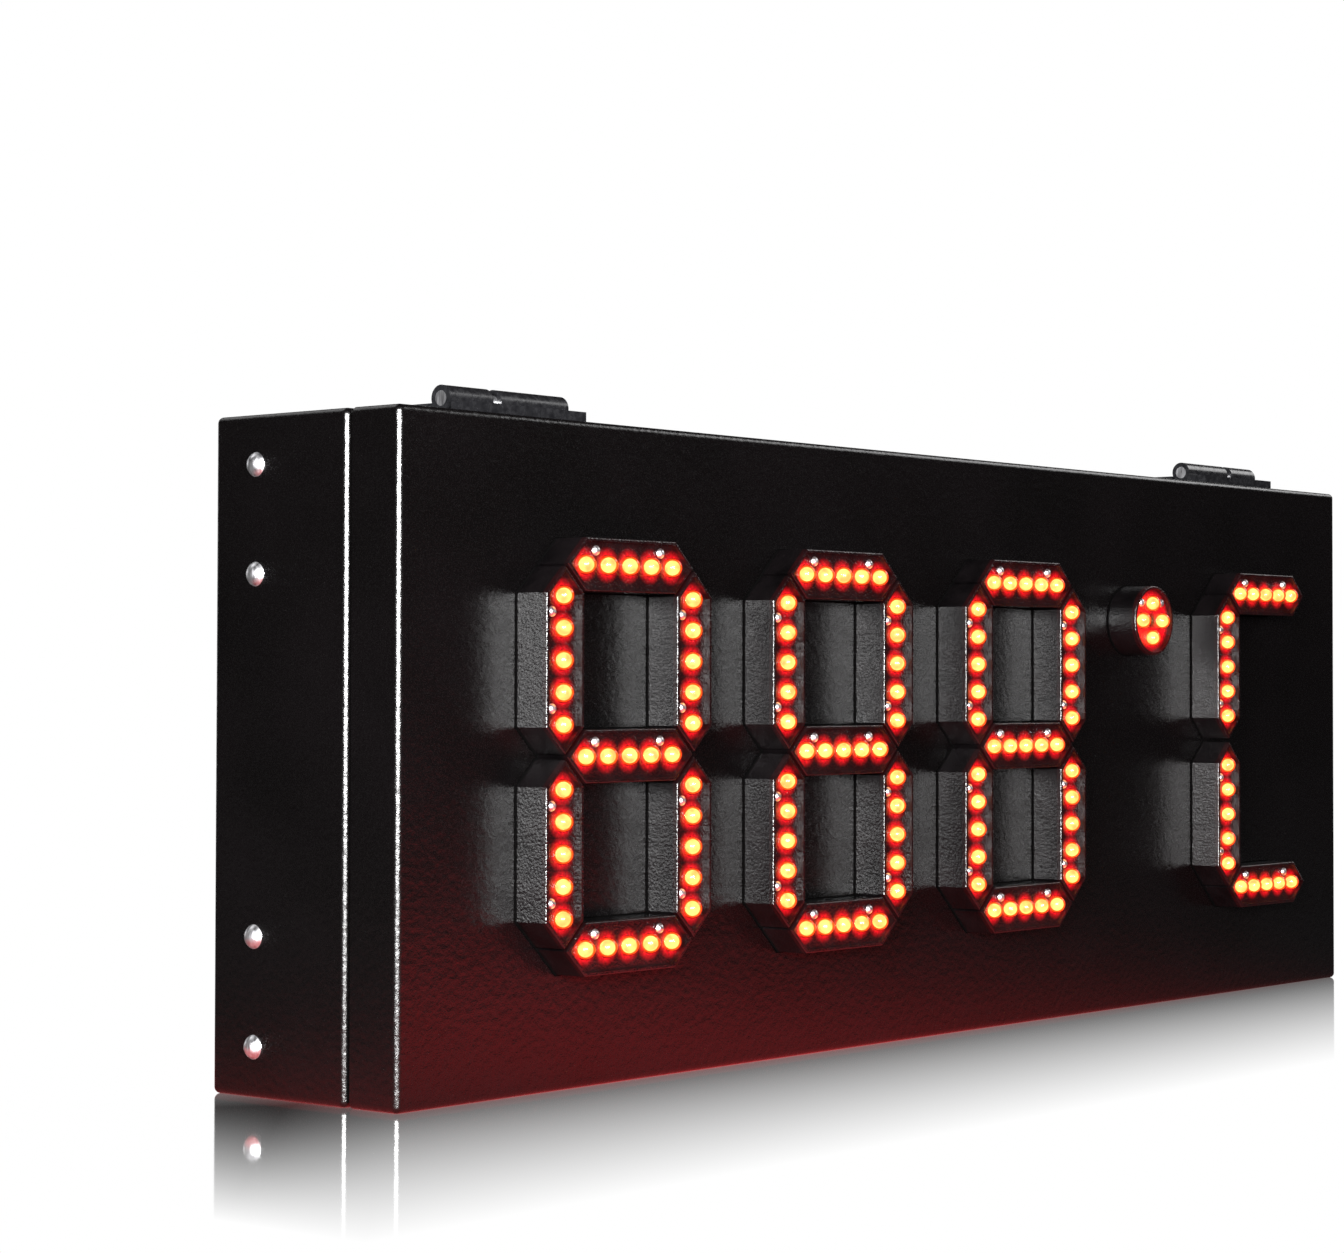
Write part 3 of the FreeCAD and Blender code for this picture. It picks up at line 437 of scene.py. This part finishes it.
def soften_edges():
    for part in frame["record"]["subparts"]:
        name = part["node"]
        if "_segment_" in name:
            soften(name, 0.45 * MM)
        elif name.startswith("hinge_pin"):
            soften(name, 1.6 * MM)
        elif name.startswith("hinge_") and "leaf" in name:
            soften(name, 0.5 * MM)
        elif name in ("power_supply", "supply_terminals", "lock_strikers"):
            soften(name, 0.5 * MM)


# ---- LEDs ---------------------------------------------------------------------

def led_centres(character, letters):
    """Where the LEDs of one character stand, in the plane of the panel."""
    for letter in letters:
        middle = centre_of("%s_segment_%s" % (character, letter))
        for step in range(-2, 3):
            along = step * LED_PITCH
            yield (middle.x, middle.z + along) if letter in UPRIGHT else (middle.x + along, middle.z)


def revolve(bm, profile, centre, turns):
    """Turns a profile of (radius, depth towards the front) about the line through centre along Y."""
    rings = []
    for radius, y in profile:
        if radius == 0.0:
            rings.append([bm.verts.new((centre[0], y, centre[1]))])
            continue
        ring = []
        for step in range(turns):
            angle = 2 * math.pi * step / turns
            ring.append(bm.verts.new((centre[0] + radius * math.cos(angle), y,
                                      centre[1] + radius * math.sin(angle))))
        rings.append(ring)
    for inner, outer in zip(rings, rings[1:]):
        for step in range(turns):
            after = (step + 1) % turns
            if len(inner) == 1:
                corners = (inner[0], outer[after], outer[step])
            elif len(outer) == 1:
                corners = (inner[step], inner[after], outer[0])
            else:
                corners = (inner[step], inner[after], outer[after], outer[step])
            face = bm.faces.new(corners)
            face.smooth = True


def arc_profile(radius, centre_y, start, stop, steps):
    """Points of a half circle's profile between two angles from its tip, in degrees."""
    points = []
    for step in range(steps + 1):
        angle = math.radians(start + (stop - start) * step / steps)
        points.append((max(radius * math.sin(angle), 0.0) if 0 < angle < math.pi else 0.0,
                       centre_y - radius * math.cos(angle)))
    return points


def finish_mesh(bm, name, materials, body):
    bmesh.ops.recalc_face_normals(bm, faces=bm.faces)
    mesh = bpy.data.meshes.new(name)
    bm.to_mesh(mesh)
    bm.free()
    for material in materials:
        mesh.materials.append(material)
    piece = bpy.data.objects.new(name, mesh)
    bpy.context.scene.collection.objects.link(piece)
    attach(piece, body)
    return piece


def build_leds(character, centres):
    """The lenses of one character, each with its lit core and the glow around it inside."""
    low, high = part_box(character + "_leds")
    centre_y = low.y + LED_RADIUS
    lens = bmesh.new()
    halo = bmesh.new()
    core = bmesh.new()
    for centre in centres:
        profile = arc_profile(LED_RADIUS, centre_y, 0, 90, 8)
        profile += [(LED_RADIUS, high.y), (0.0, high.y)]
        revolve(lens, profile, centre, 24)
        revolve(halo, arc_profile(HALO_SHARE * LED_RADIUS, centre_y, 0, 180, 12), centre, 20)
        inner = arc_profile(CORE_SHARE * LED_RADIUS, centre_y + 0.1 * MM, 0, 180, 12)
        revolve(core, inner, centre, 20)
    lens_piece = finish_mesh(lens, character + "_lenses", [LENS], "door")
    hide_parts(character + "_leds")
    finish_mesh(halo, character + "_halos", [HALO], "door")
    finish_mesh(core, character + "_cores", [CORE], "door")


def build_all_leds():
    for character, letters in CHARACTERS.items():
        build_leds(character, list(led_centres(character, letters)))
    middle = centre_of("degree_leds")
    ring = degree_ring()
    centres = [(middle.x + ring * right, middle.z + ring * up)
               for right, up in ((1, 0), (0, 1), (-1, 0), (0, -1))]
    build_leds("degree", centres)


# ---- dark beads under the housings, painted contact shade -----------------------

def hexagon_outline(node, inset):
    """The outline of one segment, its sides moved in by inset, as (x, z) corners."""
    low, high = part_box(node)
    middle = (low + high) / 2
    size = high - low
    upright = size.z > size.x
    side = min(size.x, size.z) / 2 - inset
    tip = max(size.x, size.z) / 2 - inset * math.sqrt(2)
    corners = [(-tip, 0), (side - tip, -side), (tip - side, -side), (tip, 0), (tip - side, side),
               (side - tip, side)]
    if upright:
        corners = [(across, along) for along, across in corners]
    return [(middle.x + x, middle.z + z) for x, z in corners]


def ring_outline(node, inset, turns=48):
    low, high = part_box(node)
    middle = (low + high) / 2
    radius = (high.x - low.x) / 2 - inset
    return [(middle.x + radius * math.cos(2 * math.pi * step / turns),
             middle.z + radius * math.sin(2 * math.pi * step / turns)) for step in range(turns)]


def closed_band(bm, outline, node, profile):
    """A closed band around a node: profile is a loop of (inset, y) points."""
    rings = []
    for inset, y in profile:
        rings.append([bm.verts.new((x, y, z)) for x, z in outline(node, inset)])
    for index, ring in enumerate(rings):
        after = rings[(index + 1) % len(rings)]
        for step in range(len(ring)):
            following = (step + 1) % len(ring)
            bm.faces.new((ring[step], ring[following], after[following], after[step]))


def build_contact_shade_beads():
    """A thin near-black bead around each housing where it meets the panel: a dark piece that paints the
    contact shade there.
    """
    profile = [(0.0, PANEL_Y), (-0.35 * MM, PANEL_Y), (-0.55 * MM, PANEL_Y - 0.25 * MM),
               (-0.35 * MM, PANEL_Y - 0.6 * MM), (0.0, PANEL_Y - 0.7 * MM)]
    bm = bmesh.new()
    for character, letters in CHARACTERS.items():
        for letter in letters:
            closed_band(bm, hexagon_outline, "%s_segment_%s" % (character, letter), profile)
    closed_band(bm, ring_outline, "degree_mark", profile)
    finish_mesh(bm, "housing_contact_shade_beads", [contact_shade_bead()], "door")


# ---- inside the cabinet and the door ---------------------------------------------

def box_part(bm, low, high, edge=0.0):
    """A block between two corners, its edges broken by a small bevel where edge is given."""
    matrix = Matrix.LocRotScale((Vector(low) + Vector(high)) / 2, None, Vector(high) - Vector(low))
    made = bmesh.ops.create_cube(bm, size=1.0, matrix=matrix)
    if edge > 0.0:
        faces = {face for vert in made["verts"] for face in vert.link_faces}
        edges = list({line for face in faces for line in face.edges})
        bmesh.ops.bevel(bm, geom=edges, offset=edge, segments=2, affect="EDGES", profile=0.5)


def round_part(bm, centre, radius, y_back, y_front, turns, edge):
    """A turned part standing on the y_back plane and facing the front."""
    profile = [(0.0, y_front), (radius - edge, y_front), (radius, y_front + edge), (radius, y_back),
               (0.0, y_back)]
    revolve(bm, profile, centre, turns)


def tube(name, points, radius, material, body):
    """A wire that follows smooth curves through points, as a real mesh."""
    curve = bpy.data.curves.new(name, "CURVE")
    curve.dimensions = "3D"
    curve.bevel_depth = radius
    curve.bevel_resolution = 3
    curve.resolution_u = 8
    curve.use_fill_caps = True
    spline = curve.splines.new("BEZIER")
    spline.bezier_points.add(len(points) - 1)
    for knot, point in zip(spline.bezier_points, points):
        knot.co = point
        knot.handle_left_type = "AUTO"
        knot.handle_right_type = "AUTO"
    source = bpy.data.objects.new(name + "_path", curve)
    bpy.context.scene.collection.objects.link(source)
    bpy.context.view_layer.update()
    evaluated = source.evaluated_get(bpy.context.evaluated_depsgraph_get())
    mesh = bpy.data.meshes.new_from_object(evaluated)
    bpy.data.objects.remove(source)
    mesh.materials.clear()
    mesh.materials.append(material)
    for face in mesh.polygons:
        face.use_smooth = True
    piece = bpy.data.objects.new(name, mesh)
    bpy.context.scene.collection.objects.link(piece)
    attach(piece, body)


def wire_sleeve(name, colour):
    s = Shader(name)
    shader = s.principled(Roughness=0.45)
    rub = s.noise(300.0, 2.0)
    dark = tuple(channel * 0.6 for channel in colour)
    s.link(s.ramp(rub, [(0.3, dark), (0.7, colour)]), shader.inputs["Base Color"])
    s.link(s.spread(rub, 0.35, 0.6), shader.inputs["Roughness"])
    s.bump(shader, rub, 0.2, 0.0001)
    return s.material


def build_supply_details():
    """Two rows of louvres and four lid screws on the power supply."""
    low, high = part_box("power_supply")
    front = low.y
    dark = bmesh.new()
    columns = 9
    for row in range(2):
        for column in range(columns):
            x = low.x + (column + 1.5) * (high.x - low.x) / (columns + 2)
            z = low.z + (0.33 + 0.34 * row) * (high.z - low.z)
            box_part(dark, (x - 1.4 * MM, front - 0.6 * MM, z - 11 * MM),
                     (x + 1.4 * MM, front + 0.2 * MM, z + 11 * MM), 0.3 * MM)
    finish_mesh(dark, "supply_louvres", [SLOT_MATERIALS["chip_plastic"]], "cabinet")
    screws = bmesh.new()
    for x in (low.x + 7 * MM, high.x - 7 * MM):
        for z in (low.z + 7 * MM, high.z - 7 * MM):
            round_part(screws, (x, z), 2.8 * MM, front + 0.2 * MM, front - 1.2 * MM, 20, 0.6 * MM)
    finish_mesh(screws, "supply_screws", [SLOT_MATERIALS["bright_steel"]], "cabinet")


def build_terminal_details():
    """Clamp screws down the terminal block, and the wires that leave it."""
    low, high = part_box("supply_terminals")
    screws = bmesh.new()
    count = 5
    middle_x = (low.x + high.x) / 2
    heights = [low.z + (step + 0.5) * (high.z - low.z) / count for step in range(count)]
    for z in heights:
        round_part(screws, (middle_x, z), 2.6 * MM, low.y + 0.2 * MM, low.y - 1.0 * MM, 20, 0.4 * MM)
    finish_mesh(screws, "terminal_screws", [SLOT_MATERIALS["bright_steel"]], "cabinet")
    board_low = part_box("controller_board")[0]
    sleeves = [wire_sleeve("sleeve_red", (0.35, 0.01, 0.01)),
               wire_sleeve("sleeve_black", (0.01, 0.01, 0.01))]
    for index, z in enumerate(heights[1:3]):
        start = Vector((high.x - 1 * MM, low.y + 3 * MM, z))
        end = Vector((board_low.x + 12 * MM, board_low.y - 1 * MM, board_low.z + (12 + 6 * index) * MM))
        sag = Vector((0, 2 * MM, -12 * MM))
        points = [start, start + Vector((12 * MM, 0, -2 * MM)), (start + end) / 2 + sag,
                  end + Vector((-12 * MM, 2 * MM, 0)), end]
        tube("supply_wire_%d" % index, points, 1.1 * MM, sleeves[index], "cabinet")


def build_board_details():
    """A row of pins and three capacitors on the controller."""
    low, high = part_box("controller_board")
    front = low.y
    metal = bmesh.new()
    for step in range(12):
        x = low.x + 30 * MM + step * 4.2 * MM
        box_part(metal, (x, front - 2.2 * MM, high.z - 8 * MM),
                 (x + 1.2 * MM, front + 0.1 * MM, high.z - 5 * MM))
    finish_mesh(metal, "board_pins", [SLOT_MATERIALS["bright_steel"]], "cabinet")
    cans = bmesh.new()
    for step in range(3):
        centre = (low.x + (14 + 13 * step) * MM, high.z - 22 * MM)
        round_part(cans, centre, 4.5 * MM, front + 0.1 * MM, front - 9 * MM, 24, 0.8 * MM)
    finish_mesh(cans, "board_capacitors", [SLOT_MATERIALS["supply_case"]], "cabinet")


# ---- stage: floor, backdrop, lights, camera -----------------------------------

CAMERA_PLACE = Vector((-1.1497, -0.9629, 0.0262))
CAMERA_TURN = 52.66
CAMERA_TILT = 1.41
CAMERA_LENS = 83.7
CAMERA_SHIFT = (-0.188, -0.012)


def build_camera():
    data = bpy.data.cameras.new("camera")
    data.lens = CAMERA_LENS
    data.sensor_width = 36.0
    data.shift_x, data.shift_y = CAMERA_SHIFT
    data.clip_start = 0.01
    data.clip_end = 50.0
    camera = bpy.data.objects.new("camera", data)
    camera.location = CAMERA_PLACE
    camera.rotation_euler = (math.radians(90 + CAMERA_TILT), 0.0, math.radians(-CAMERA_TURN))
    bpy.context.scene.collection.objects.link(camera)
    bpy.context.scene.camera = camera


REFLECTION_REACH = 0.19
FLOOR_GLOW_CENTRE = (-0.16, -0.28)
FLOOR_GLOW_REACH = 0.66


def floor_material():
    """For camera rays, a white floor that mirrors the sign close to its foot. For all other rays, a
    dull floor with a red glow that stands in for the display's light."""
    s = Shader("pale_floor")
    where = s.add("ShaderNodeSeparateXYZ")
    s.link(s.add("ShaderNodeNewGeometry").outputs["Position"], where.inputs["Vector"])
    x, y = where.outputs["X"], where.outputs["Y"]
    middle_y = PANEL_Y / 2
    across = s.math("SUBTRACT", s.math("ABSOLUTE", x), HALF_WIDTH)
    ahead = s.math("SUBTRACT", s.math("ABSOLUTE", s.math("SUBTRACT", y, middle_y)), -middle_y)
    away = s.math("MAXIMUM", s.math("MAXIMUM", across, ahead), 0.0)
    share = s.math("DIVIDE", away, REFLECTION_REACH)
    beside = s.spread(s.math("SUBTRACT", across, ahead), 0.0, 1.0, 0.0, 0.06)
    curve = s.math("POWER", share, s.math("ADD", s.math("MULTIPLY", beside, 0.9), 1.05))
    full = s.math("ADD", s.math("MULTIPLY", beside, 0.10), 0.88)
    shine = s.math("MAXIMUM", s.math("MULTIPLY", s.math("SUBTRACT", 1.0, curve), full), 0.0)
    white = s.add("ShaderNodeEmission")
    white.inputs["Color"].default_value = (1.0, 1.0, 1.0, 1.0)
    mirror = s.add("ShaderNodeBsdfGlossy")
    mirror.inputs["Color"].default_value = (1.0, 1.0, 1.0, 1.0)
    mirror.inputs["Roughness"].default_value = 0.05
    seen = s.add("ShaderNodeMixShader")
    s.link(shine, seen.inputs["Fac"])
    s.link(white.outputs[0], seen.inputs[1])
    s.link(mirror.outputs[0], seen.inputs[2])
    dull = s.add("ShaderNodeBsdfDiffuse")
    dull.inputs["Color"].default_value = (0.05, 0.05, 0.05, 1.0)
    glow = s.add("ShaderNodeEmission")
    glow.inputs["Color"].default_value = (1.0, 0.02, 0.03, 1.0)
    reach = length_of(s, s.math("SUBTRACT", x, FLOOR_GLOW_CENTRE[0]),
                      s.math("SUBTRACT", y, FLOOR_GLOW_CENTRE[1]))
    fade = s.spread(reach, 1.0, 0.0, 0.0, FLOOR_GLOW_REACH)
    s.link(s.math("MULTIPLY", s.math("POWER", fade, 2.2), 2.4), glow.inputs["Strength"])
    unseen = add_shaders(s, dull, glow)
    path = s.add("ShaderNodeLightPath")
    pick = s.add("ShaderNodeMixShader")
    s.link(path.outputs["Is Camera Ray"], pick.inputs["Fac"])
    s.link(unseen.outputs[0], pick.inputs[1])
    s.link(seen.outputs[0], pick.inputs[2])
    s.link(pick.outputs[0], s.output.inputs["Surface"])
    return s.material


def build_floor():
    mesh = bpy.data.meshes.new("floor")
    reach = 12.0
    z = BODY_LOW.z
    corners = [(-reach, -reach, z), (reach, -reach, z), (reach, reach, z), (-reach, reach, z)]
    mesh.from_pydata(corners, [], [(0, 1, 2, 3)])
    mesh.materials.append(floor_material())
    floor = bpy.data.objects.new("floor", mesh)
    bpy.context.scene.collection.objects.link(floor)


def build_world():
    """White for the camera and low behind the sign, as a backdrop would be, and dim elsewhere."""
    world = bpy.data.worlds.new("studio")
    world.use_nodes = True
    tree = world.node_tree
    tree.nodes.clear()

    def math_node(operation, first, second):
        node = tree.nodes.new("ShaderNodeMath")
        node.operation = operation
        for socket, value in zip(node.inputs, (first, second)):
            if isinstance(value, (int, float)):
                socket.default_value = value
            else:
                tree.links.new(value, socket)
        return node.outputs["Value"]

    output = tree.nodes.new("ShaderNodeOutputWorld")
    bright = tree.nodes.new("ShaderNodeBackground")
    bright.inputs["Color"].default_value = (1.0, 1.0, 1.0, 1.0)
    dim = tree.nodes.new("ShaderNodeBackground")
    dim.inputs["Color"].default_value = (0.020, 0.017, 0.018, 1.0)
    heading = tree.nodes.new("ShaderNodeSeparateXYZ")
    tree.links.new(tree.nodes.new("ShaderNodeTexCoord").outputs["Generated"], heading.inputs["Vector"])
    right, back, up = heading.outputs
    backward = math_node("GREATER_THAN", back, 0.0)
    not_left = math_node("GREATER_THAN", math_node("ADD", right, math_node("MULTIPLY", back, 0.2)), 0.0)
    low = math_node("LESS_THAN", up, 0.3)
    backdrop = math_node("MULTIPLY", math_node("MULTIPLY", backward, not_left), low)
    mix = tree.nodes.new("ShaderNodeMixShader")
    path = tree.nodes.new("ShaderNodeLightPath")
    tree.links.new(math_node("MAXIMUM", path.outputs["Is Camera Ray"], backdrop), mix.inputs["Fac"])
    tree.links.new(dim.outputs[0], mix.inputs[1])
    tree.links.new(bright.outputs[0], mix.inputs[2])
    tree.links.new(mix.outputs[0], output.inputs["Surface"])
    bpy.context.scene.world = world


def area_light(name, place, target, width, height, radiance):
    data = bpy.data.lights.new(name, "AREA")
    data.shape = "RECTANGLE"
    data.size = width
    data.size_y = height
    data.energy = radiance * math.pi * width * height
    light = bpy.data.objects.new(name, data)
    light.location = place
    light.rotation_euler = (Vector(target) - Vector(place)).to_track_quat("-Z", "Y").to_euler()
    bpy.context.scene.collection.objects.link(light)


def build_lights():
    target = Vector((0.0, PANEL_Y, 0.0))
    towards = (CAMERA_PLACE - target).normalized()
    behind = CAMERA_PLACE + towards * 0.3
    area_light("key_above_camera", behind + Vector((0, 0, 0.21)), target, 1.4, 0.34, 120.0)
    area_light("fill_at_camera", behind + Vector((0, 0, -0.15)), target, 1.4, 0.30, 19.0)
    area_light("high_right", (1.7, -0.7, 1.15), target, 1.4, 0.7, 3.5)
    area_light("high_behind", (-0.4, 1.3, 1.5), target, 1.6, 0.8, 1.2)


bpy.context.scene.view_settings.view_transform = "Standard"
paint_frame()
soften_edges()
build_all_leds()
build_contact_shade_beads()
build_supply_details()
build_terminal_details()
build_board_details()
build_camera()
build_floor()
build_world()
build_lights()
